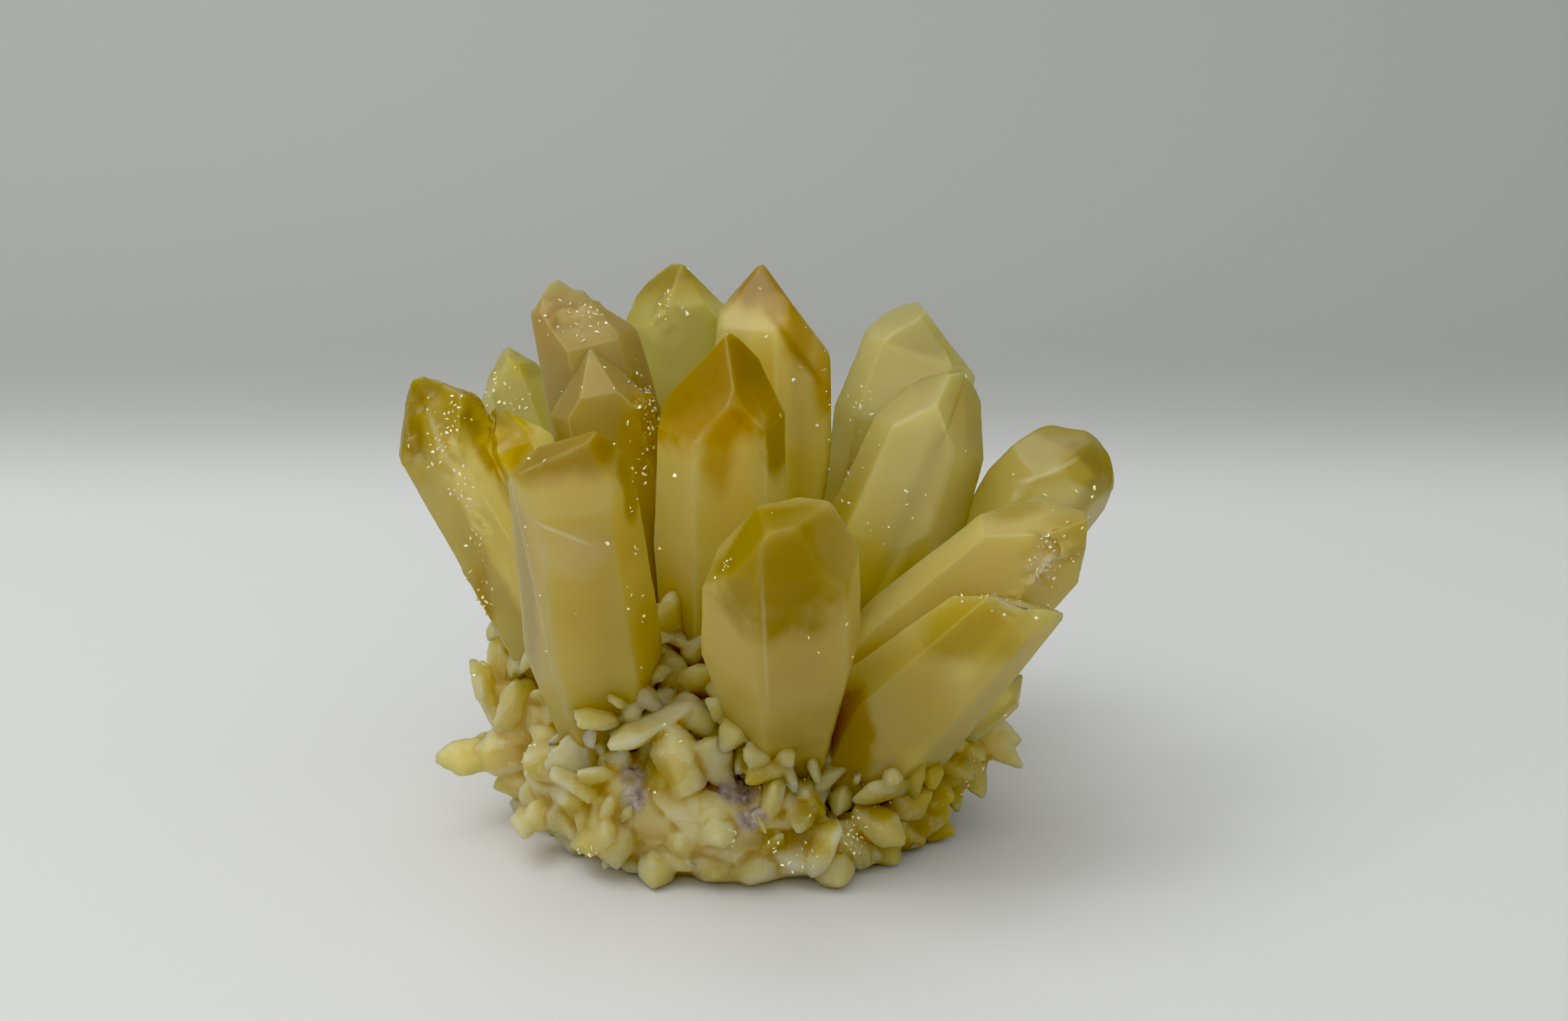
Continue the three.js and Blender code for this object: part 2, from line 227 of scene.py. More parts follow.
CRUST_AMBER_AND_SHADOW = [
    ((-24, -15, 6.5), (2.4, 3, 2)), ((-9, -23, 14), (4, 3, 3)), ((0, -24, 15), (4, 4, 2)),
    ((8, -24, 10), (3, 3, 2)), ((-4, -27, 2.4), (2.8, 3, 1.6)), ((4, -26, 6.2), (6, 3, 1.2)),
    # The last spot on the next line, at (24, -14, 9), is painted shadow: it darkens the crust on the right,
    # which the big crystals shade.
    ((-30, -2, 19), (3, 3, 3)), ((16, -20, 9), (3, 3, 2)), ((24, -14, 9), (11, 10, 13)),
]
# How big the crust's swellings, chips and druse grains are, and how far they stand up or sink in.
SWELLING = 0.0045
SWELLING_HEIGHT = 0.0002
FLAKE = 0.0017
FLAKE_HEIGHT = 0.00014
DRUSE_GRAIN = 0.0008
DRUSE_HEIGHT = 0.0008
DRUSE_SUNK = 0.0001
DRUSE_EDGE = 0.0014
CRUST_OUT = 0.00012
# The cut's own edge stays plain up to KEPT_PLAIN, and the crust is at its full height FADE_IN above that.
KEPT_PLAIN = 0.0002
FADE_IN = 0.0012
# How far the hollows are measured, and how strongly their depth turns into painted shade.
HOLLOW_ROUNDS = 16
HOLLOW_GAIN = 1.2
TONE_SIZE = 0.0042


def crusted(mesh):
    """Roughens a skin of crust and stores what colours it: druse, painted shade in its hollows, lumps, pale
    spots and amber spots, one of them painted shadow.
    """
    places, normals, edges = corners_of(mesh)
    druse = np.max([near(places, middle, (r, r, r), 0.6) for middle, r in CRUST_DRUSE], axis=0)
    druse = np.clip(druse * (1 + 0.9 * lumps(places, DRUSE_EDGE, 3)) - 0.1, 0, 1)
    rough = lumps(places, SWELLING, 1) * SWELLING_HEIGHT + chips(places, FLAKE, 5) * FLAKE_HEIGHT
    rough += druse * (np.abs(lumps(places, DRUSE_GRAIN, 4)) * DRUSE_HEIGHT - DRUSE_SUNK)
    free = np.clip((places[:, 2] - KEPT_PLAIN) / FADE_IN, 0, 1)
    places = places + normals * ((rough + CRUST_OUT) * free)[:, None]
    places[:, 2] = np.maximum(places[:, 2], 0)
    hollow = np.einsum("ij,ij->i", settled(places, edges, HOLLOW_ROUNDS) - places, normals) * 1000
    move_corners(mesh, places)
    store(mesh, "druse", druse)
    # Painted shade: the deeper a vertex sits in a hollow, the darker gold the crust is painted there.
    store(mesh, "crevice", np.clip(0.5 + hollow * HOLLOW_GAIN, 0, 1))
    store(mesh, "lump", lump_tones(places, TONE_SIZE, 2))
    for name, spots in [("pale", CRUST_PALE), ("amber", CRUST_AMBER_AND_SHADOW)]:
        store(mesh, name, np.max([near(places, middle, reach, 0.7) for middle, reach in spots], axis=0))
    mesh.shade_smooth()


class Wiring:
    """Adds nodes to a tree. An input takes a plain value or another node's output. It is named by its
    label, with _ for a space, or by its number, as in i0."""

    def __init__(self, tree):
        self.tree = tree

    def add(self, kind, settings=None, **inputs):
        node = self.tree.nodes.new(kind if "Node" in kind else "ShaderNode" + kind)
        for key, value in (settings or {}).items():
            setattr(node, key, value)
        for key, value in inputs.items():
            self.put(node.inputs[int(key[1:]) if key[1:].isdigit() else key.replace("_", " ")], value)
        return node

    def put(self, socket, value):
        if isinstance(value, bpy.types.NodeSocket):
            self.tree.links.new(value, socket)
        else:
            socket.default_value = value

    def maths(self, operation, a, b=0.0, c=0.0, clamp=False):
        return self.add("Math", {"operation": operation, "use_clamp": clamp}, i0=a, i1=b, i2=c).outputs[0]

    def vector(self, operation, a, b=(0, 0, 0), out=0):
        return self.add("VectorMath", {"operation": operation}, i0=a, i1=b).outputs[out]

    def scaled(self, vector, amount):
        return self.add("VectorMath", {"operation": "SCALE"}, i0=vector, Scale=amount).outputs[0]

    def part(self, vector, axis):
        return self.add("SeparateXYZ", None, Vector=vector).outputs["XYZ".index(axis)]

    def mixed(self, amount, a, b):
        a, b = [c if isinstance(c, bpy.types.NodeSocket) else (*c, 1) for c in (a, b)]
        return self.add("Mix", {"data_type": "RGBA"}, i0=amount, i6=a, i7=b).outputs[2]

    def washed(self, base, mask, strength, colour):
        """The base with a colour laid over it where the mask is."""
        return self.mixed(self.maths("MULTIPLY", mask, strength), base, colour)

    def grains(self, where, scale, detail=2.0, roughness=0.5):
        """Noise from 0 to 1."""
        return self.add(
            "TexNoise", None, Vector=where, Scale=scale, Detail=detail, Roughness=roughness,
        ).outputs[0]

    def spread(self, value, middle, gain):
        """Stretches a value about its middle and cuts it off at 0 and 1."""
        return self.maths("MULTIPLY_ADD", self.maths("SUBTRACT", value, middle), gain, 0.5, clamp=True)

    def eased(self, value, low=0.0, high=1.0):
        """0 below low, 1 above high and a smooth step between them."""
        return self.add(
            "MapRange", {"interpolation_type": "SMOOTHSTEP"}, Value=value, From_Min=low, From_Max=high,
        ).outputs[0]

    def held(self, name):
        """A value stored on the mesh."""
        return self.add("Attribute", {"attribute_name": name}).outputs["Fac"]

    def bumped(self, height, strength, distance):
        return self.add("Bump", None, Strength=strength, Distance=distance, Height=height).outputs[0]

    def placed(self, group, **inputs):
        """The mask that a node group makes of these inputs."""
        node = self.add("Group")
        node.node_tree = group.tree
        for key, value in inputs.items():
            self.put(node.inputs[key], value)
        return node.outputs["Mask"]


def new_material(name):
    material = bpy.data.materials.new(name)
    material.use_nodes = True
    nodes = Wiring(material.node_tree)
    here = nodes.add("TexCoord").outputs["Object"]
    return material, nodes, material.node_tree.nodes["Principled BSDF"], here


QUARTZ_IOR = 1.544
# How far red, green and blue light spread in quartz, against each other.
QUARTZ_SPREAD = (1.0, 0.9, 0.45)


def quartz_body(nodes, shader, reach, clearness, roughness, tint, density, shine=0.1):
    """The plain numbers of milky quartz: light spreads in it, and some goes through and takes its colour."""
    shader.inputs["IOR"].default_value = QUARTZ_IOR
    shader.inputs["Specular IOR Level"].default_value = shine
    shader.inputs["Subsurface Weight"].default_value = 1.0
    shader.inputs["Subsurface Radius"].default_value = QUARTZ_SPREAD
    shader.inputs["Subsurface Scale"].default_value = reach
    shader.inputs["Roughness"].default_value = roughness
    shader.inputs["Transmission Weight"].default_value = clearness
    inner = nodes.add("VolumeAbsorption")
    inner.inputs["Color"].default_value = (*tint, 1)
    inner.inputs["Density"].default_value = density
    nodes.tree.links.new(inner.outputs[0], nodes.tree.nodes["Material Output"].inputs["Volume"])


CRUST_TINT = (0.97, 0.9, 0.3)
CRUST_DENSITY = 60.0
# The smoothest that a face of see-through quartz is anywhere.
SMOOTHEST = 0.29

crust_material, nodes, shader, here = new_material("crust")
quartz_body(nodes, shader, 0.008, 0.45, 0.3, CRUST_TINT, CRUST_DENSITY)
lump = nodes.held("lump")
fine = nodes.grains(here, 480.0, 3.0, 0.6)
patch = nodes.spread(nodes.grains(here, 170.0, 2.0), 0.5, 2.6)
base = nodes.mixed(patch, (0.94, 0.81, 0.46), (0.89, 0.72, 0.29))
for mask, strength, colour in [
    (nodes.spread(lump, 0.72, 4.0), 0.5, (0.86, 0.77, 0.44)),  # the palest lumps
    (nodes.spread(lump, 0.2, -4.0), 0.4, (0.62, 0.45, 0.03)),  # the deepest yellow lumps
    # amber spots, and painted shadow over the crust on the right
    (nodes.held("amber"), 0.7, (0.52, 0.35, 0.02)),
    (nodes.held("pale"), 0.4, (0.90, 0.81, 0.52)),
    (nodes.spread(fine, 0.68, 5.0), 0.4, (0.92, 0.86, 0.6)),  # fine cream flecks
    # painted shade: a darker deep gold laid into the hollows between the blades
    (nodes.spread(nodes.held("crevice"), 0.66, 3.0), 0.55, (0.62, 0.43, 0.05)),
]:
    base = nodes.washed(base, mask, strength, colour)
lilac_grain = nodes.spread(nodes.grains(here, 900.0, 2.0, 0.6), 0.5, 2.5)
lilac = nodes.mixed(lilac_grain, (0.38, 0.29, 0.24), (0.8, 0.7, 0.6))
base = nodes.mixed(nodes.held("druse"), base, lilac)
nodes.put(shader.inputs["Base Color"], base)
nodes.put(shader.inputs["Normal"], nodes.bumped(nodes.grains(here, 1300.0, 3.0, 0.6), 0.5, 0.0004))
waxy = nodes.maths("MULTIPLY_ADD", fine, 0.2, SMOOTHEST)
nodes.put(shader.inputs["Roughness"], nodes.maths("MULTIPLY_ADD", nodes.held("druse"), 0.15, waxy))


def set_up(piece, node, material):
    """Gives a piece its finish and puts it in its CAD node's place."""
    piece.data.materials.clear()
    piece.data.materials.append(material)
    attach(piece, "root")
    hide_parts(node)


def small_crystal(name, width, thickness, shoulder, lean, seed):
    """A six-sided point of length 1 along Z with its foot below the origin, flattened and a little askew."""
    draws = np.random.default_rng(seed)
    bm = bmesh.new()
    rings = []
    for height, size in ((-0.5, 0.85), (shoulder, 1.0)):
        ring = []
        for k in range(6):
            angle = math.radians(60 * k + draws.uniform(-12, 12))
            out = size * draws.uniform(0.85, 1.1) / 2
            up = height + draws.uniform(-0.06, 0.06)
            along = out * width * math.cos(angle)
            ring.append(bm.verts.new((along, out * thickness * math.sin(angle), up)))
        rings.append(ring)
    foot, top = rings
    tip = bm.verts.new((lean * width, 0.1 * thickness, 0.5))
    for k in range(6):
        after = (k + 1) % 6
        bm.faces.new((foot[k], foot[after], top[after], top[k]))
        bm.faces.new((top[k], top[after], tip))
    bm.faces.new(foot[::-1])
    worn = bmesh.ops.bevel(bm, geom=bm.edges, offset=0.025, segments=1, affect="EDGES")
    for face in worn["faces"]:
        face.smooth = True
    bmesh.ops.triangulate(bm, faces=bm.faces)
    mesh = bpy.data.meshes.new(name)
    bm.to_mesh(mesh)
    bm.free()
    return bpy.data.objects.new(name, mesh)


shapes = bpy.data.collections.new("small crystal shapes")
for name, width, thickness, shoulder, lean, seed in [
    ("blade", 0.62, 0.26, 0.12, 0.2, 1),
    ("stub", 0.64, 0.5, 0.10, 0.05, 2),
    ("shard", 0.5, 0.26, 0.0, -0.3, 3),
    ("plate", 0.9, 0.28, 0.16, 0.35, 4),
]:
    shapes.objects.link(small_crystal(name, width, thickness, shoulder, lean, seed))

MOST_PER_AREA = 4e6
BEND_SCALE = 520.0
BEND = 0.0003

growth_tree = bpy.data.node_groups.new("crust growth", "GeometryNodeTree")
growth_tree.is_modifier = True
growth_sockets = {}
for label, kind in [
    ("Surface", "Geometry"), ("Shapes", "Collection"), ("Spacing", "Float"), ("Smallest", "Float"),
    ("Largest", "Float"), ("Lean", "Float"), ("Seed", "Int"), ("Finish", "Material"),
]:
    socket = growth_tree.interface.new_socket(label, in_out="INPUT", socket_type="NodeSocket" + kind)
    growth_sockets[label] = socket.identifier
growth_tree.interface.new_socket("Crystals", in_out="OUTPUT", socket_type="NodeSocketGeometry")
steps = Wiring(growth_tree)
given = growth_tree.nodes.new("NodeGroupInput").outputs


def drawn(kind, low, high, offset):
    """A random value for each point: low and high are plain values or sockets."""
    first, result = {"FLOAT_VECTOR": (0, 0), "FLOAT": (2, 1), "INT": (4, 2)}[kind]
    limits = {f"i{first}": low, f"i{first + 1}": high}
    node = steps.add("FunctionNodeRandomValue", {"data_type": kind}, **limits)
    seed = steps.add("Math", {"operation": "ADD"}, i0=given["Seed"], i1=float(offset)).outputs[0]
    steps.put(node.inputs["Seed"], seed)
    return node.outputs[result]


density = steps.add("GeometryNodeInputNamedAttribute", {"data_type": "FLOAT"}, Name="grow").outputs[0]
spots = steps.add(
    "GeometryNodeDistributePointsOnFaces", {"distribute_method": "POISSON"},
    Mesh=given["Surface"], Distance_Min=given["Spacing"], Density_Max=MOST_PER_AREA, Density_Factor=density,
    Seed=given["Seed"],
).outputs
aside = steps.scaled(drawn("FLOAT_VECTOR", (-1, -1, -1), (1, 1, 1), 1), given["Lean"])
way = steps.vector("ADD", spots["Normal"], aside)
upright = steps.add("FunctionNodeAlignRotationToVector", {"axis": "Z"}, Vector=way).outputs[0]
spin = drawn("FLOAT_VECTOR", (0, 0, 0), (0, 0, 2 * math.pi), 2)
spin = steps.add("FunctionNodeEulerToRotation", None, Euler=spin).outputs[0]
turned = steps.add(
    "FunctionNodeRotateRotation", {"rotation_space": "LOCAL"}, Rotation=upright, Rotate_By=spin,
).outputs[0]
kinds = steps.add(
    "GeometryNodeCollectionInfo", None,
    Collection=given["Shapes"], Separate_Children=True, Reset_Children=True,
).outputs[0]
crystals = steps.add(
    "GeometryNodeInstanceOnPoints", None, Points=spots["Points"], Instance=kinds, Pick_Instance=True,
    Instance_Index=drawn("INT", 0, len(shapes.objects) - 1, 3), Rotation=turned,
    Scale=drawn("FLOAT", given["Smallest"], given["Largest"], 4),
).outputs[0]
toned = steps.add(
    "GeometryNodeStoreNamedAttribute", {"data_type": "FLOAT", "domain": "INSTANCE"},
    Geometry=crystals, Name="tone", Value=drawn("FLOAT", 0.0, 1.0, 5),
).outputs[0]
real = steps.add("GeometryNodeRealizeInstances", None, Geometry=toned).outputs[0]
place = steps.add("GeometryNodeInputPosition").outputs[0]
bend = steps.add("TexNoise", None, Vector=place, Scale=BEND_SCALE, Detail=1.0).outputs["Color"]
bend = steps.scaled(steps.vector("SUBTRACT", bend, (0.5, 0.5, 0.5)), BEND)
uneven = steps.add("GeometryNodeSetPosition", None, Geometry=real, Offset=bend).outputs[0]
finished = steps.add("GeometryNodeSetMaterial", None, Geometry=uneven, Material=given["Finish"]).outputs[0]
growth_tree.links.new(finished, growth_tree.nodes.new("NodeGroupOutput").inputs[0])

grit_material, nodes, shader, here = new_material("small crust crystals")
quartz_body(nodes, shader, 0.004, 0.5, 0.3, CRUST_TINT, CRUST_DENSITY, shine=0.35)
tone = nodes.held("tone")
base = nodes.mixed(nodes.spread(tone, 0.45, 1.6), (0.86, 0.72, 0.34), (0.79, 0.61, 0.18))
base = nodes.mixed(nodes.spread(tone, 0.9, 8.0), base, (0.90, 0.80, 0.50))
base = nodes.mixed(nodes.spread(nodes.grains(here, 200.0), 0.6, 4.0), base, (0.56, 0.39, 0.02))
cream = nodes.spread(nodes.grains(here, 700.0, 3.0, 0.6), 0.6, 4.0)
base = nodes.washed(base, cream, 0.5, (0.92, 0.84, 0.58))
# Painted shadow: the small crystals turn deep gold on the right, where the big crystals shade them from the
# left light.
painted_shadow_on_right = nodes.spread(nodes.part(here, "X"), 0.016, 70.0)
base = nodes.washed(base, painted_shadow_on_right, 0.7, (0.52, 0.36, 0.03))
nodes.put(shader.inputs["Base Color"], base)
nodes.put(shader.inputs["Normal"], nodes.bumped(nodes.grains(here, 1500.0, 2.0, 0.6), 0.3, 0.0002))

glitter_material, nodes, shader, here = new_material("glittering grains")
shader.inputs["IOR"].default_value = QUARTZ_IOR
shader.inputs["Specular IOR Level"].default_value = 1.0
base = nodes.mixed(nodes.held("tone"), (0.95, 0.91, 0.72), (0.85, 0.73, 0.36))
nodes.put(shader.inputs["Base Color"], base)
nodes.put(shader.inputs["Roughness"], nodes.maths("MULTIPLY_ADD", nodes.grains(here, 1500.0), 0.2, 0.05))


def grown_on(surface, name, share, spacing, smallest, largest, lean, seed, finish=crust_material):
    """Small crystals on a surface, as thick on it as the share says for each of its vertices."""
    growth = bpy.data.objects.new(name, surface.copy())
    bpy.context.scene.collection.objects.link(growth)
    store(growth.data, "grow", share)
    modifier = growth.modifiers.new("growth", "NODES")
    modifier.node_group = growth_tree
    for label, value in [
        ("Shapes", shapes), ("Spacing", spacing), ("Smallest", smallest), ("Largest", largest),
        ("Lean", lean), ("Seed", seed), ("Finish", finish),
    ]:
        modifier[growth_sockets[label]] = value
    made_plain(growth)
    for v in growth.data.vertices:
        v.co.z = max(v.co.z, 0)
    return growth


def fused(piece, voxel):
    """Makes one skin of a piece whose parts run into each other, and keeps their edges crisp."""
    parts = faces_of(piece.data)
    remeshed(piece, voxel, 0)
    move_corners(piece.data, drawn_to(parts, corners_of(piece.data)[0]))


def joined_into(target, meshes):
    """Fills the target mesh with all the meshes together, which may include itself."""
    bm = bmesh.new()
    for mesh in meshes:
        bm.from_mesh(mesh)
    bm.to_mesh(target)
    bm.free()


# How near a big crystal the rock counts as its foot, and how near it nothing grows.
FOOT_REACH = 0.0036
FOOT_FADE = 0.0016
CRYSTAL_GAP = 0.0009
ABOVE_CUT = 0.0016
CRUST_FUSING = 0.00043

corners = []
faces = []
for node, piece in frame["nodes"].items():
    if node.startswith("crystal_"):
        faces += [[v + len(corners) for v in p.vertices] for p in piece.data.polygons]
        corners += [v.co[:] for v in piece.data.vertices]
big_crystals = BVHTree.FromPolygons(corners, faces)
places, normals, edges = corners_of(matrix.data)
gap = np.array([big_crystals.find_nearest(Vector(p))[3] for p in places])
foot = np.clip((FOOT_REACH - gap) / FOOT_FADE, 0, 1)
open_air = (gap > CRYSTAL_GAP) & (places[:, 2] > ABOVE_CUT) & (normals[:, 2] > -0.8)

grit = grown_on(
    matrix.data, "crust_grit", open_air * (0.1 + 0.5 * foot),
    spacing=0.0032, smallest=0.0017, largest=0.0036, lean=1.1, seed=8, finish=grit_material,
)
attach(grit, "root")
blades = [
    grown_on(
        matrix.data, "foot_crystals", open_air * foot,
        spacing=0.0036, smallest=0.0065, largest=0.0120, lean=0.5, seed=3,
    ),
    grown_on(
        matrix.data, "crust_blades", open_air * (0.6 + 0.4 * foot),
        spacing=0.0050, smallest=0.0055, largest=0.0098, lean=0.9, seed=5,
    ),
]
joined_into(matrix.data, [matrix.data] + [growth.data for growth in blades])
for growth in blades:
    bpy.data.objects.remove(growth)
fused(matrix, CRUST_FUSING)
crusted(matrix.data)
set_up(matrix, "matrix", crust_material)

places = corners_of(matrix.data)[0]
share = np.clip(lumps(places, 0.004, 9) * 3 - 0.7, 0, 1) * (places[:, 2] > ABOVE_CUT) * 0.8
grains = grown_on(
    matrix.data, "crust_glitter", share,
    spacing=0.0007, smallest=0.0003, largest=0.0007, lean=1.2, seed=14, finish=glitter_material,
)
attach(grains, "root")

# ---- Front left crystal ----
# A stout milky quartz point with a brown-gold band under its blunt tip and a white feather below that.
# Like all the big crystals it is grown into the matrix, with worn edges and faces that are not quite flat.


def mask_group(name, inputs):
    """A node group that makes a mask: its wiring, its inputs and the mask's socket."""
    group = bpy.data.node_groups.new(name, "ShaderNodeTree")
    for label, kind, value in inputs:
        socket = group.interface.new_socket(label, in_out="INPUT", socket_type="NodeSocket" + kind)
        if value is not None:
            socket.default_value = value
    group.interface.new_socket("Mask", in_out="OUTPUT", socket_type="NodeSocketFloat")
    given = group.nodes.new("NodeGroupInput").outputs
    return Wiring(group), given, group.nodes.new("NodeGroupOutput").inputs["Mask"]


growth_zone, given, mask = mask_group("growth zone", [
    ("Place", "Vector", None), ("Through", "Vector", (0, 0, 0)), ("Axis", "Vector", (0, 0, 1)),
    ("Softness", "Float", 0.004), ("Raggedness", "Float", 0.003), ("Wander", "Vector", (0, 0, 0)),
])
nodes = growth_zone
height = nodes.vector("SUBTRACT", given["Place"], given["Through"])
height = nodes.vector("DOT_PRODUCT", height, given["Axis"], "Value")
ragged = nodes.maths("MULTIPLY", nodes.part(given["Wander"], "X"), given["Raggedness"])
level = nodes.maths("DIVIDE", nodes.maths("ADD", height, ragged), given["Softness"])
nodes.put(mask, nodes.eased(nodes.maths("ADD", level, 0.5, clamp=True)))

colour_pocket, given, mask = mask_group("colour pocket", [
    ("Place", "Vector", None), ("Centre", "Vector", (0, 0, 0)), ("Size", "Vector", (0.01, 0.01, 0.01)),
    ("Softness", "Float", 0.5), ("Wander", "Vector", (0, 0, 0)),
])
nodes = colour_pocket
away = nodes.vector("SUBTRACT", given["Place"], given["Centre"])
away = nodes.vector("DIVIDE", away, given["Size"])
reach = nodes.vector("LENGTH", nodes.vector("ADD", away, given["Wander"]), out="Value")
inside = nodes.maths("DIVIDE", nodes.maths("SUBTRACT", 1.0, reach), given["Softness"])
nodes.put(mask, nodes.eased(nodes.maths("ADD", inside, 0.5, clamp=True)))

veil_sheet, given, mask = mask_group("veil", [
    ("Place", "Vector", None), ("Through", "Vector", (0, 0, 0)), ("Across", "Vector", (0, 0, 1)),
    ("Thickness", "Float", 0.0004), ("Reach", "Float", 0.003), ("Wander", "Vector", (0, 0, 0)),
])
nodes = veil_sheet
away = nodes.vector("SUBTRACT", given["Place"], given["Through"])
bent = nodes.maths("MULTIPLY", nodes.part(given["Wander"], "Y"), given["Thickness"])
off = nodes.vector("DOT_PRODUCT", away, given["Across"], "Value")
off = nodes.maths("ABSOLUTE", nodes.maths("ADD", off, bent))
thin = nodes.maths("SUBTRACT", 1.0, nodes.maths("DIVIDE", off, given["Thickness"]), clamp=True)
ends = nodes.maths("DIVIDE", nodes.vector("LENGTH", away, out="Value"), given["Reach"])
ends = nodes.maths("SUBTRACT", 1.0, ends, clamp=True)
nodes.put(mask, nodes.maths("MULTIPLY", thin, nodes.maths("MULTIPLY", ends, 2.0, clamp=True)))


def gridded(piece, cell):
    """Cuts the piece's flat faces along an even grid, so that they can bend a little."""
    on_plane = cell * 0.06
    bm = bmesh.new()
    bm.from_mesh(piece.data)
    for across in (Vector((1, 0, 0)), Vector((0, 1, 0)), Vector((0, 0, 1))):
        reach = [v.co.dot(across) for v in bm.verts]
        for k in range(1, math.ceil((max(reach) - min(reach)) / cell)):
            middle = across * (min(reach) + k * cell)
            every = bm.verts[:] + bm.edges[:] + bm.faces[:]
            bmesh.ops.bisect_plane(bm, geom=every, dist=on_plane, plane_co=middle, plane_no=across)
    bmesh.ops.triangulate(bm, faces=bm.faces)
    bm.to_mesh(piece.data)
    bm.free()


# Sizes of the big crystals' wear, in metres: their mesh, rounded edges, waves, ripples and nicks.
CELL = 0.0008
WORN_EDGE = 0.0009
SHARP = math.radians(8)
CRYSTAL_OUT = 0.0001
WAVE = 0.009
WAVE_HEIGHT = 0.00018
RIPPLE = 0.0032
RIPPLE_HEIGHT = 0.00004
NICK = 0.0026
NICK_DEPTH = 0.0003
# How far a vertex stands out of its neighbours where an edge starts, and how much more where it is full.
EDGE_FROM = 0.00003
EDGE_FULL = 0.0001


def crystal_mesh(node, name, seed, wear=1.0, rounding=2, broken=()):
    """The node's crystal with worn edges and broken spots: middle, reach, depth and size of the chips."""
    piece = merged_copy(node, name)
    bevel = piece.modifiers.new("worn edges", "BEVEL")
    bevel.width = WORN_EDGE * wear
    bevel.segments = 3
    bevel.limit_method = "ANGLE"
    bevel.angle_limit = SHARP
    made_plain(piece)
    gridded(piece, CELL)
    places, normals, edges = corners_of(piece.data)
    move_corners(piece.data, settled(places, edges, rounding))
    places, normals, edges = corners_of(piece.data)
    edge = np.einsum("ij,ij->i", places - settled(places, edges, 3), normals)
    edge = np.clip((edge - EDGE_FROM) / EDGE_FULL, 0, 1)
    nick = np.clip(lumps(places, NICK, seed) * 1.8 - 0.2, 0, 1) ** 2 * edge**2
    waves = lumps(places, WAVE, seed + 1) * WAVE_HEIGHT + lumps(places, RIPPLE, seed + 2) * RIPPLE_HEIGHT
    height = CRYSTAL_OUT + waves - nick * NICK_DEPTH * wear
    for middle, reach, depth, size in broken:
        height = height + near(places, middle, reach, 0.6) * (chips(places, size, seed) - 0.4) * depth
    move_corners(piece.data, places + normals * height[:, None])
    store(piece.data, "edge", edge)
    piece.data.shade_smooth()
    return piece


def metres(point):
    return tuple(v / 1000 for v in point)


def unit(direction):
    return tuple(Vector(direction).normalized())


QUARTZ_TINT = (0.97, 0.9, 0.12)
QUARTZ_DENSITY = 30.0
QUARTZ_REACH = 0.008
CLOUD_SCALE = 85.0
WANDER_SCALE = 230.0
# Every big crystal is a little deeper in colour below this height, by this factor of its deep tone.
ROOT_TOP = (0, 0, 0.021)
ROOT_TONE = (0.92, 0.85, 0.4)
# The colour of a painted highlight laid faintly along the worn edges.
EDGE_HIGHLIGHT = (0.85, 0.72, 0.3)
GOLD = (0.43, 0.28, 0.0)
OLIVE = (0.42, 0.30, 0.0)
AMBER = (0.60, 0.36, 0.0)
FEATHER = (0.97, 0.92, 0.72)
glitter_spots = []


def quartz(name, pale, deep, clear=0.62, roughness=0.32, zones=(), pockets=(), veils=(), sparkle=()):
    """Milky quartz of two cloudy tones. Then come its growth zones (through, axis, softness, raggedness,
    colour, strength), colour pockets (centre, size, softness, colour, strength), veils (through, across,
    thickness, reach, colour, strength) and spots of glittering grains (centre, size, share). Lengths are in
    millimetres, but for a pocket's softness, which is a share of its size."""
    material, nodes, shader, here = new_material(name)
    quartz_body(nodes, shader, QUARTZ_REACH, clear, roughness, QUARTZ_TINT, QUARTZ_DENSITY)
    wander = nodes.add("TexNoise", None, Vector=here, Scale=WANDER_SCALE, Detail=3.0, Roughness=0.6)
    wander = nodes.vector("SUBTRACT", wander.outputs["Color"], (0.5, 0.5, 0.5))
    base = nodes.mixed(nodes.spread(nodes.grains(here, CLOUD_SCALE, 3.0, 0.55), 0.5, 2.2), pale, deep)
    root = nodes.placed(
        growth_zone, Place=here, Through=ROOT_TOP, Axis=(0, 0, -1),
        Softness=0.014, Raggedness=0.006, Wander=wander,
    )
    base = nodes.washed(base, root, 0.3, tuple(c * k for c, k in zip(deep, ROOT_TONE)))
    for centre, size, soft, colour, strength in pockets:
        mask = nodes.placed(
            colour_pocket, Place=here, Centre=metres(centre), Size=metres(size),
            Softness=soft, Wander=wander,
        )
        base = nodes.washed(base, mask, strength, colour)
    for through, axis, soft, ragged, colour, strength in zones:
        mask = nodes.placed(
            growth_zone, Place=here, Through=metres(through), Axis=unit(axis),
            Softness=soft / 1000, Raggedness=ragged / 1000, Wander=wander,
        )
        base = nodes.washed(base, mask, strength, colour)
    for through, across, thickness, reach, colour, strength in veils:
        mask = nodes.placed(
            veil_sheet, Place=here, Through=metres(through), Across=unit(across),
            Thickness=thickness / 1000, Reach=reach / 1000, Wander=wander,
        )
        base = nodes.washed(base, mask, strength, colour)
    # Painted highlight: a faint light line along the worn edges.
    base = nodes.washed(base, nodes.held("edge"), 0.06, EDGE_HIGHLIGHT)
    glitter_spots.extend(sparkle)
    nodes.put(shader.inputs["Base Color"], base)
    nodes.put(shader.inputs["Normal"], nodes.bumped(nodes.grains(here, 380.0, 2.0, 0.6), 0.1, 0.0003))
    worn = nodes.maths("MULTIPLY_ADD", nodes.held("edge"), 0.2, roughness - 0.06)
    rough = nodes.maths("MULTIPLY_ADD", nodes.grains(here, 260.0, 2.0, 0.6), 0.12, worn)
    nodes.put(shader.inputs["Roughness"], nodes.maths("MAXIMUM", rough, SMOOTHEST))
    return material


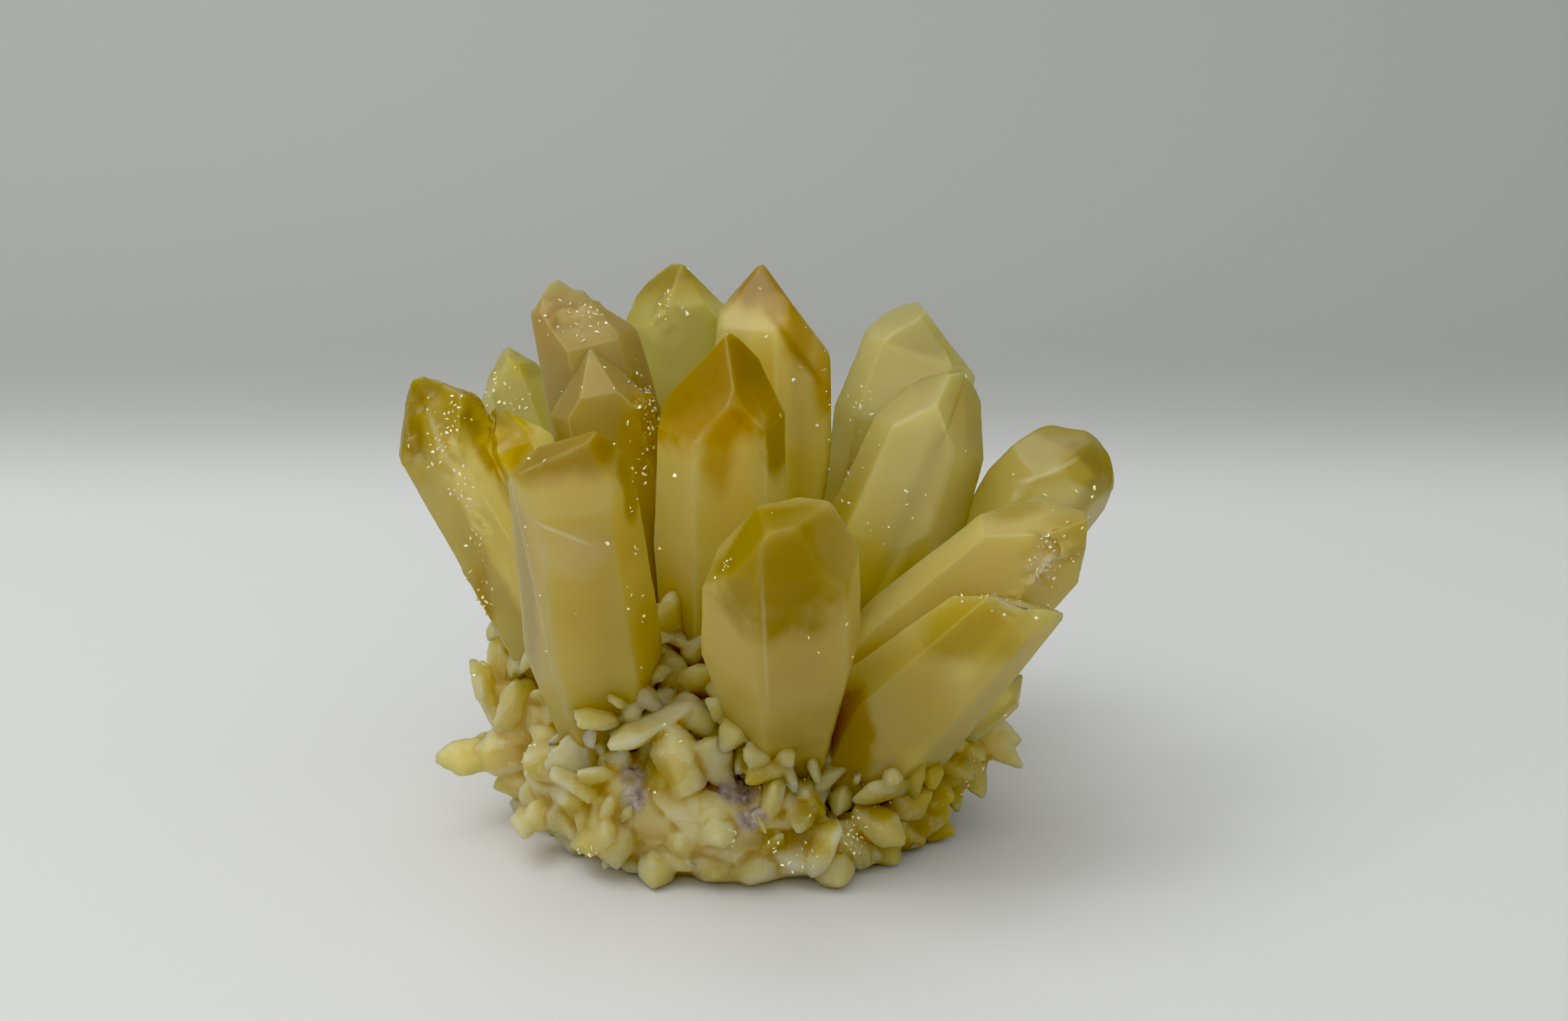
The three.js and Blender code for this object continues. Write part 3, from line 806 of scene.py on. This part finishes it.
set_up(
    crystal_mesh("crystal_front_left", "front_left_crystal", 3, wear=1.5, rounding=5),
    "crystal_front_left",
    quartz(
        "front left quartz", pale=(0.82, 0.70, 0.25), deep=(0.75, 0.60, 0.16),
        zones=[
            ((-20.8, -27.2, 51.4), (-0.08, -0.28, 1), 2.6, 1.6, GOLD, 0.95),
            ((-21, -24.6, 57.4), (-0.08, 0.2, 1), 2.6, 0.8, (0.5, 0.37, 0.03), 0.7),
        ],
        pockets=[
            ((-13.4, -23.5, 50.5), (1.6, 3, 4.5), 0.6, GOLD, 0.8),
            # Painted shade: a darker tone over the crystal's left faces, against the light falling from the
            # left.
            ((-27, -22, 36), (2.6, 7, 17), 0.6, (0.58, 0.49, 0.25), 0.7),
            ((-20, -29, 42.5), (4.5, 3, 3), 0.9, (0.9, 0.8, 0.5), 0.5),
        ],
        veils=[
            ((-20.6, -28.4, 45.3), (2.4, 0, 4.7), 0.35, 4.2, FEATHER, 0.9),
            ((-24.6, -26, 38), (1, 0, 0.16), 0.3, 16, FEATHER, 0.35),
        ],
        sparkle=[((-12.6, -19, 42), (1.2, 6, 14), 0.12)],
    ),
)

# ---- Front centre crystal ----
# The stoutest of the front points, leaning out to the front. An olive-gold phantom fills its upper half and
# ends in a ragged edge.
set_up(
    crystal_mesh("crystal_front_centre", "front_centre_crystal", 7, wear=1.3, rounding=4),
    "crystal_front_centre",
    quartz(
        "front centre quartz", pale=(0.77, 0.64, 0.24), deep=(0.70, 0.55, 0.16),
        pockets=[
            ((3.0, -35, 45.2), (8.2, 9, 9.2), 0.6, OLIVE, 0.84),
            ((9.3, -33, 45), (3, 4, 4), 0.8, (0.6, 0.47, 0.12), 0.7),
        ],
        veils=[((1.9, -36.5, 34), (1, 0, 0.03), 0.35, 12, FEATHER, 0.3)],
        sparkle=[((-2.6, -34.1, 42.7), (1.1, 2, 1.4), 0.8), ((-3.2, -31, 46.5), (1, 2, 2), 0.5)],
    ),
)

# ---- Front right group ----
# Two crystals and a small one grown side by side, lying out to the right. The upper one is chipped near its
# tip, the lower one has a yellow zone behind its blunt end, and there is a deep yellow pocket at the root.
set_up(
    crystal_mesh(
        "crystal_front_right", "front_right_crystals", 11,
        broken=[
            ((34.6, -18, 38), (2.6, 4, 4.6), 0.0011, 0.0013),
            ((30.6, -20.4, 34.9), (3.4, 3, 1.4), 0.0009, 0.0012),
        ],
    ),
    "crystal_front_right",
    quartz(
        "front right quartz", pale=(0.84, 0.73, 0.31), deep=(0.78, 0.64, 0.19),
        zones=[((37.5, -14, 43), (36, -8, 40), 6.0, 4.0, (0.68, 0.5, 0.08), 0.7)],
        pockets=[
            ((31, -10.5, 43.6), (3.6, 2.8, 2.0), 1.0, OLIVE, 0.6),
            ((36.8, -16.7, 42), (3.0, 3.0, 3.0), 1.0, GOLD, 0.5),
            ((24.6, -22.5, 32.2), (6.8, 5, 4.2), 0.8, (0.56, 0.43, 0.03), 0.75),
            ((34.6, -18.2, 38), (1.7, 2.4, 3.4), 0.9, (0.88, 0.8, 0.55), 0.6),
            ((30.6, -20.6, 35), (2.6, 2.4, 0.9), 0.9, (0.88, 0.8, 0.5), 0.6),
            ((11.9, -20, 18.2), (2.8, 5, 6.2), 0.6, (0.56, 0.37, 0.0), 0.95),
        ],
        sparkle=[
            ((34.6, -18.2, 38), (2, 3, 4), 0.6),
            ((24, -21, 35.6), (8, 3, 1.6), 0.25),
            ((38, -14, 34), (5, 5, 8), 0.15),
        ],
    ),
)

# ---- Centre crystals ----
# The tall slim point in the middle and the one behind it, both of milky quartz capped in ragged brown-gold.
# Between the front crystals the middle one is deep yellow down to its root.
set_up(
    crystal_mesh("crystal_centre", "centre_crystal", 13),
    "crystal_centre",
    quartz(
        "centre quartz", pale=(0.95, 0.84, 0.37), deep=(0.90, 0.74, 0.22),
        zones=[
            ((-3.5, -13, 52.6), (-0.24, 0, 1), 4.5, 6.0, AMBER, 0.9),
            ((-3.5, -13, 56), (-0.24, 0, 1), 4.0, 4.0, GOLD, 0.8),
        ],
        pockets=[
            ((2.6, -9, 51.5), (2.6, 5, 5), 0.5, GOLD, 0.85),
            ((-4, -14, 51), (2, 3, 4.4), 0.9, AMBER, 0.5),
            ((-7, -10, 24), (6, 9, 11), 0.8, (0.64, 0.48, 0.06), 0.4),
        ],
    ),
)
set_up(
    crystal_mesh("crystal_centre_back", "centre_back_crystal", 17),
    "crystal_centre_back",
    quartz(
        "centre back quartz", pale=(0.86, 0.73, 0.26), deep=(0.80, 0.64, 0.16),
        zones=[((1.5, 5, 64.4), (0.1, 0, 1), 3.6, 2.5, (0.42, 0.25, 0.0), 0.95)],
        pockets=[
            ((5.6, 3, 62), (2.4, 5, 4), 0.8, AMBER, 0.7),
            ((9, 3, 56), (1.6, 4, 5), 0.8, AMBER, 0.7),
        ],
        veils=[((5.2, 3.5, 60.2), (9.7, 0, 6.8), 0.8, 8.5, (0.48, 0.29, 0.0), 0.95)],
        sparkle=[((9.4, 2, 50), (1.4, 4, 12), 0.12)],
    ),
)

# ---- Left crystal ----
# A golden point that leans far out to the left, with a lobe grown onto it. Its head and the lobe are clear
# amber and broken all over, so they glitter.
set_up(
    crystal_mesh(
        "crystal_left", "left_crystals", 19, wear=1.6, rounding=3,
        broken=[
            ((-37, -5, 53), (6, 7, 8), 0.0006, 0.0028),
            ((-30.5, -5, 50), (4, 5, 5), 0.0005, 0.0028),
            ((-34, -7, 40), (3, 4, 8), 0.0004, 0.0020),
        ],
    ),
    "crystal_left",
    quartz(
        "left quartz", pale=(0.90, 0.79, 0.36), deep=(0.82, 0.68, 0.18), clear=0.7, roughness=0.3,
        zones=[((-36, -7, 49.5), (-27, -4, 52), 6.0, 5.0, (0.50, 0.35, 0.0), 0.9)],
        pockets=[
            ((-40.8, -4, 54), (1.7, 4, 7), 0.6, (0.46, 0.28, 0.0), 0.85),
            ((-30.2, -5.6, 50.6), (3.6, 5, 4.4), 0.5, (0.76, 0.52, 0.0), 0.95),
            ((-33.5, -5, 27), (1.6, 4, 9), 0.8, AMBER, 0.8),
        ],
        sparkle=[
            ((-36.4, -6.4, 53.4), (2.4, 3, 2.4), 0.8),
            ((-38, -7.6, 49), (1.6, 2, 2), 0.6),
            ((-35.4, -8, 45), (1.6, 2, 3.4), 0.5),
            ((-33.5, -6, 34), (2, 3, 8), 0.4),
        ],
        veils=[
            ((-37, -6.5, 50), (1, 0, 0.5), 0.6, 6, FEATHER, 0.45),
            ((-35, -7, 44), (0.4, 0, 1), 0.5, 4, FEATHER, 0.4),
        ],
    ),
)

# ---- Back left crystals ----
# A lower point grown onto a taller one, both of milky quartz with a faint rose cast. The right-hand edge
# and the tip are knobbly and glitter.
set_up(
    crystal_mesh(
        "crystal_back_left", "back_left_crystals", 23,
        broken=[
            ((-12.6, 0, 52), (2.4, 6, 9), 0.0007, 0.0016),
            ((-22, 4, 64.5), (5, 4, 3), 0.0006, 0.0016),
        ],
    ),
    "crystal_back_left",
    quartz(
        "back left quartz", pale=(0.60, 0.47, 0.18), deep=(0.54, 0.40, 0.11),
        zones=[((-22, 3, 64.4), (-13, 2, 63), 3.0, 2.0, (0.7, 0.54, 0.22), 0.6)],
        pockets=[
            ((-25.8, 2.5, 63), (1.8, 4, 4), 0.8, (0.66, 0.42, 0.12), 0.7),
            ((-13.6, -4, 48), (2.6, 4, 8), 0.8, (0.68, 0.47, 0.03), 0.75),
        ],
        sparkle=[((-12.9, -1, 52), (1.8, 6, 10), 0.6), ((-21.5, 3.5, 63.5), (4, 4, 2.4), 0.4)],
    ),
)

# ---- Rear left crystals ----
# Two pale greenish points of milky quartz that stand behind the others on the left, yellow only at their
# tips. The nearer one is broken at its tip.
set_up(
    crystal_mesh(
        "crystal_rear_left", "rear_left_crystal", 29,
        broken=[((-11.5, 17, 62), (3, 4, 3.4), 0.0005, 0.0015)],
    ),
    "crystal_rear_left",
    quartz(
        "rear left quartz", pale=(0.64, 0.59, 0.22), deep=(0.58, 0.51, 0.13),
        zones=[((-12, 20, 63), (-2.5, 12, 63), 3.0, 2.5, (0.45, 0.33, 0.02), 0.9)],
        pockets=[((-16, 22, 61), (2, 4, 4), 0.8, (0.6, 0.49, 0.07), 0.7)],
        sparkle=[((-11.2, 16.6, 62.4), (2.4, 3, 2.4), 0.6)],
    ),
)
set_up(
    crystal_mesh("crystal_rear_far_left", "rear_far_left_crystal", 31),
    "crystal_rear_far_left",
    quartz(
        "rear far left quartz", pale=(0.64, 0.59, 0.21), deep=(0.58, 0.50, 0.13),
        pockets=[
            ((-35, 27, 52), (2.4, 4, 2.4), 0.8, (0.66, 0.54, 0.04), 0.8),
            ((-31, 22, 53.5), (1.6, 3, 2), 0.8, (0.7, 0.58, 0.05), 0.7),
        ],
        sparkle=[((-33, 23, 49), (3, 4, 4), 0.4)],
    ),
)

# ---- Right crystals ----
# A tall pair of milky quartz, pale and a little green, that touch along most of their length, and the low
# blunt one beside them, which is deeper in colour and glitters at its end.
set_up(
    crystal_mesh("crystal_right", "right_crystals", 37),
    "crystal_right",
    quartz(
        "right quartz", pale=(0.75, 0.68, 0.32), deep=(0.69, 0.61, 0.23),
        zones=[((19.6, 12, 64.5), (19, 5, 57), 3.0, 2.0, (0.8, 0.7, 0.16), 0.7)],
        pockets=[
            ((27, 3, 51.5), (2.6, 6, 5), 0.8, (0.62, 0.48, 0.08), 0.4),
            ((14, 0, 32), (6, 6, 10), 0.9, (0.74, 0.58, 0.1), 0.5),
        ],
        veils=[
            ((24.6, 1.6, 51.8), (0.86, 0, -0.5), 0.4, 6, GOLD, 0.5),
            ((22.9, 9, 60.5), (1, 0, 0.7), 0.4, 5, (0.6, 0.5, 0.05), 0.6),
        ],
        sparkle=[((13, 6, 45), (2, 5, 12), 0.25), ((17, -1, 40), (6, 4, 4), 0.15)],
    ),
)
set_up(
    crystal_mesh("crystal_right_low", "low_right_crystal", 41, wear=1.5, rounding=4),
    "crystal_right_low",
    quartz(
        "low right quartz", pale=(0.66, 0.58, 0.23), deep=(0.60, 0.49, 0.14), clear=0.7, roughness=0.3,
        pockets=[
            ((41, -0.8, 46.2), (2.9, 4, 2.8), 0.6, (0.5, 0.37, 0.01), 0.7),
            ((39, 4, 50), (6.5, 4, 1.7), 0.6, (0.56, 0.42, 0.01), 0.85),
            ((45, 2, 45.5), (1.7, 4, 4.5), 0.7, (0.56, 0.4, 0.01), 0.8),
            ((38, -2, 41.5), (4, 3, 2.6), 0.8, (0.9, 0.84, 0.5), 0.6),
        ],
        veils=[((36.4, -1.9, 45.2), (-0.37, 0, 0.93), 0.4, 5, FEATHER, 0.6)],
        sparkle=[((40.9, -2, 42.9), (1.3, 2, 1.3), 0.9), ((34, -2, 42), (3, 2, 2), 0.2)],
    ),
)

# ---- Rear crystals ----
# Two shorter points of pale milky quartz, which close the cluster at the back. Each is yellow at its tip,
# with a veil below that and a few glittering grains.
VEIL_HEIGHT = 0.8
GLITTER_HEIGHT = 0.7
for node, seed, tip, axis in [
    ("crystal_rear", 43, (3.8, 40, 46), (1, 27, 41)),
    ("crystal_rear_right", 47, (27.5, 33, 34), (17, 21, 29)),
]:
    name = node.removeprefix("crystal_")
    set_up(
        crystal_mesh(node, name + "_crystal", seed),
        node,
        quartz(
            name.replace("_", " ") + " quartz", pale=(0.72, 0.66, 0.25), deep=(0.66, 0.57, 0.14),
            zones=[(tip, axis, 6.0, 4.0, (0.6, 0.43, 0.01), 0.9)],
            veils=[(tuple(VEIL_HEIGHT * v for v in tip), (1, 0.2, -0.4), 0.4, 7, FEATHER, 0.5)],
            sparkle=[(tuple(GLITTER_HEIGHT * v for v in tip), (3, 5, 5), 0.2)],
        ),
    )

# ---- Small crystals on the feet of the big ones ----
# The crust climbs a few millimetres up the big crystals, so that they have no clean edge where they come
# out of it. It is one skin of blades like the rest of the crust, set into the crystals.
FAR = 0.006
CLIMB = 0.0050
CLIMB_FADE = 0.0030
CRUST_GAP = 0.0004
FEET_ABOVE = 0.002
FEET_FUSING = 0.00045

crystals = [o for o in bpy.context.scene.objects if o.name.endswith(("_crystal", "_crystals"))]
feet = bpy.data.meshes.new("feet")
joined_into(feet, [piece.data for piece in crystals])
crust_faces = faces_of(matrix.data)
gap = np.array([(crust_faces.find_nearest(v.co, FAR)[3] or 1) for v in feet.vertices])
height = np.array([v.co.z for v in feet.vertices])
share = np.clip((CLIMB - gap) / CLIMB_FADE, 0, 1) * (gap > CRUST_GAP) * (height > FEET_ABOVE)
foot_crust = grown_on(
    feet, "foot_crust", share,
    spacing=0.0026, smallest=0.0040, largest=0.0085, lean=0.7, seed=12,
)
fused(foot_crust, FEET_FUSING)
crusted(foot_crust.data)
foot_crust.data.materials.clear()
foot_crust.data.materials.append(crust_material)
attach(foot_crust, "root")

# ---- Glittering grains on the big crystals ----
# Broken spots of the crystals are set with tiny grains, each of which turns its own way and catches the
# light. A few more lie scattered over all their faces.
SCATTERED = 0.01
places = corners_of(feet)[0]
share = np.full(len(places), SCATTERED)
for centre, size, most in glitter_spots:
    share = np.maximum(share, near(places, centre, size, 0.8) * most * 2)
share = share * np.clip(lumps(places, 0.0022, 6) * 4 + 0.8, 0.1, 1)
grains = grown_on(
    feet, "crystal_glitter", share,
    spacing=0.0006, smallest=0.0003, largest=0.0008, lean=1.4, seed=17, finish=glitter_material,
)
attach(grains, "root")
bpy.data.meshes.remove(feet)
for shape in list(shapes.objects):
    bpy.data.objects.remove(shape)
bpy.data.collections.remove(shapes)

# ---- Floor and light ----
# A pale painted floor that curves up into a grey wall, under two soft ceiling lights, one on the left and
# one at the back, and a wide soft light in front.
FLOOR_FRONT = -0.8
FLOOR_MIDDLE = 0.16
CURVE_START = 0.2
CURVE_RADIUS = 0.2
WALL_TOP = 1.2
HALF_WIDTH = 1.6
DARKENS_FROM = 0.13
DARKENS_TO = 0.26

profile = [(FLOOR_FRONT, 0.0), (FLOOR_MIDDLE, 0.0), (CURVE_START, 0.0)]
for turn in range(6, 91, 6):
    along = CURVE_START + CURVE_RADIUS * math.sin(math.radians(turn))
    profile.append((along, CURVE_RADIUS - CURVE_RADIUS * math.cos(math.radians(turn))))
profile.append((CURVE_START + CURVE_RADIUS, WALL_TOP))
bm = bmesh.new()
rows = [[bm.verts.new((x, y, z)) for x in (-HALF_WIDTH, HALF_WIDTH)] for y, z in profile]
for low, high in zip(rows, rows[1:]):
    bm.faces.new((low[0], low[1], high[1], high[0]))
floor_mesh = bpy.data.meshes.new("floor")
bm.to_mesh(floor_mesh)
bm.free()
floor_mesh.shade_smooth()
floor = bpy.data.objects.new("floor", floor_mesh)
bpy.context.scene.collection.objects.link(floor)
floor_material, nodes, shader, here = new_material("painted floor")
wall = nodes.eased(nodes.part(here, "Y"), DARKENS_FROM, DARKENS_TO)
nodes.put(shader.inputs["Base Color"], nodes.mixed(wall, (0.66, 0.67, 0.665), (0.36, 0.365, 0.345)))
shader.inputs["Roughness"].default_value = 0.6
floor_mesh.materials.append(floor_material)


def soft_light(name, place, target, size, power, colour):
    data = bpy.data.lights.new(name, "AREA")
    data.shape = "DISK"
    data.size = size
    data.energy = power
    data.color = colour
    light = bpy.data.objects.new(name, data)
    light.location = place
    light.rotation_euler = (Vector(target) - Vector(place)).to_track_quat("-Z", "Y").to_euler()
    bpy.context.scene.collection.objects.link(light)


WARM = (1, 0.98, 0.94)
soft_light("ceiling left", (-0.42, -0.12, 0.62), (0, 0, 0.02), size=0.4, power=1.3, colour=WARM)
soft_light("ceiling back", (-0.16, 0.2, 0.68), (0, 0, 0.02), size=0.6, power=1.3, colour=WARM)
soft_light("front", (-0.3, -1.0, 0.9), (0, 0, 0.03), size=1.8, power=5.9, colour=(1, 1, 1))
world = bpy.data.worlds.new("room")
bpy.context.scene.world = world
world.use_nodes = True
room_light = world.node_tree.nodes["Background"]
room_light.inputs["Color"].default_value = (0.95, 0.97, 1, 1)
room_light.inputs["Strength"].default_value = 0.62
view = bpy.context.scene.view_settings
view.view_transform = "Standard"
view.use_curve_mapping = True
view.curve_mapping.black_level = (0.03, 0.03, 0.03)
view.curve_mapping.update()
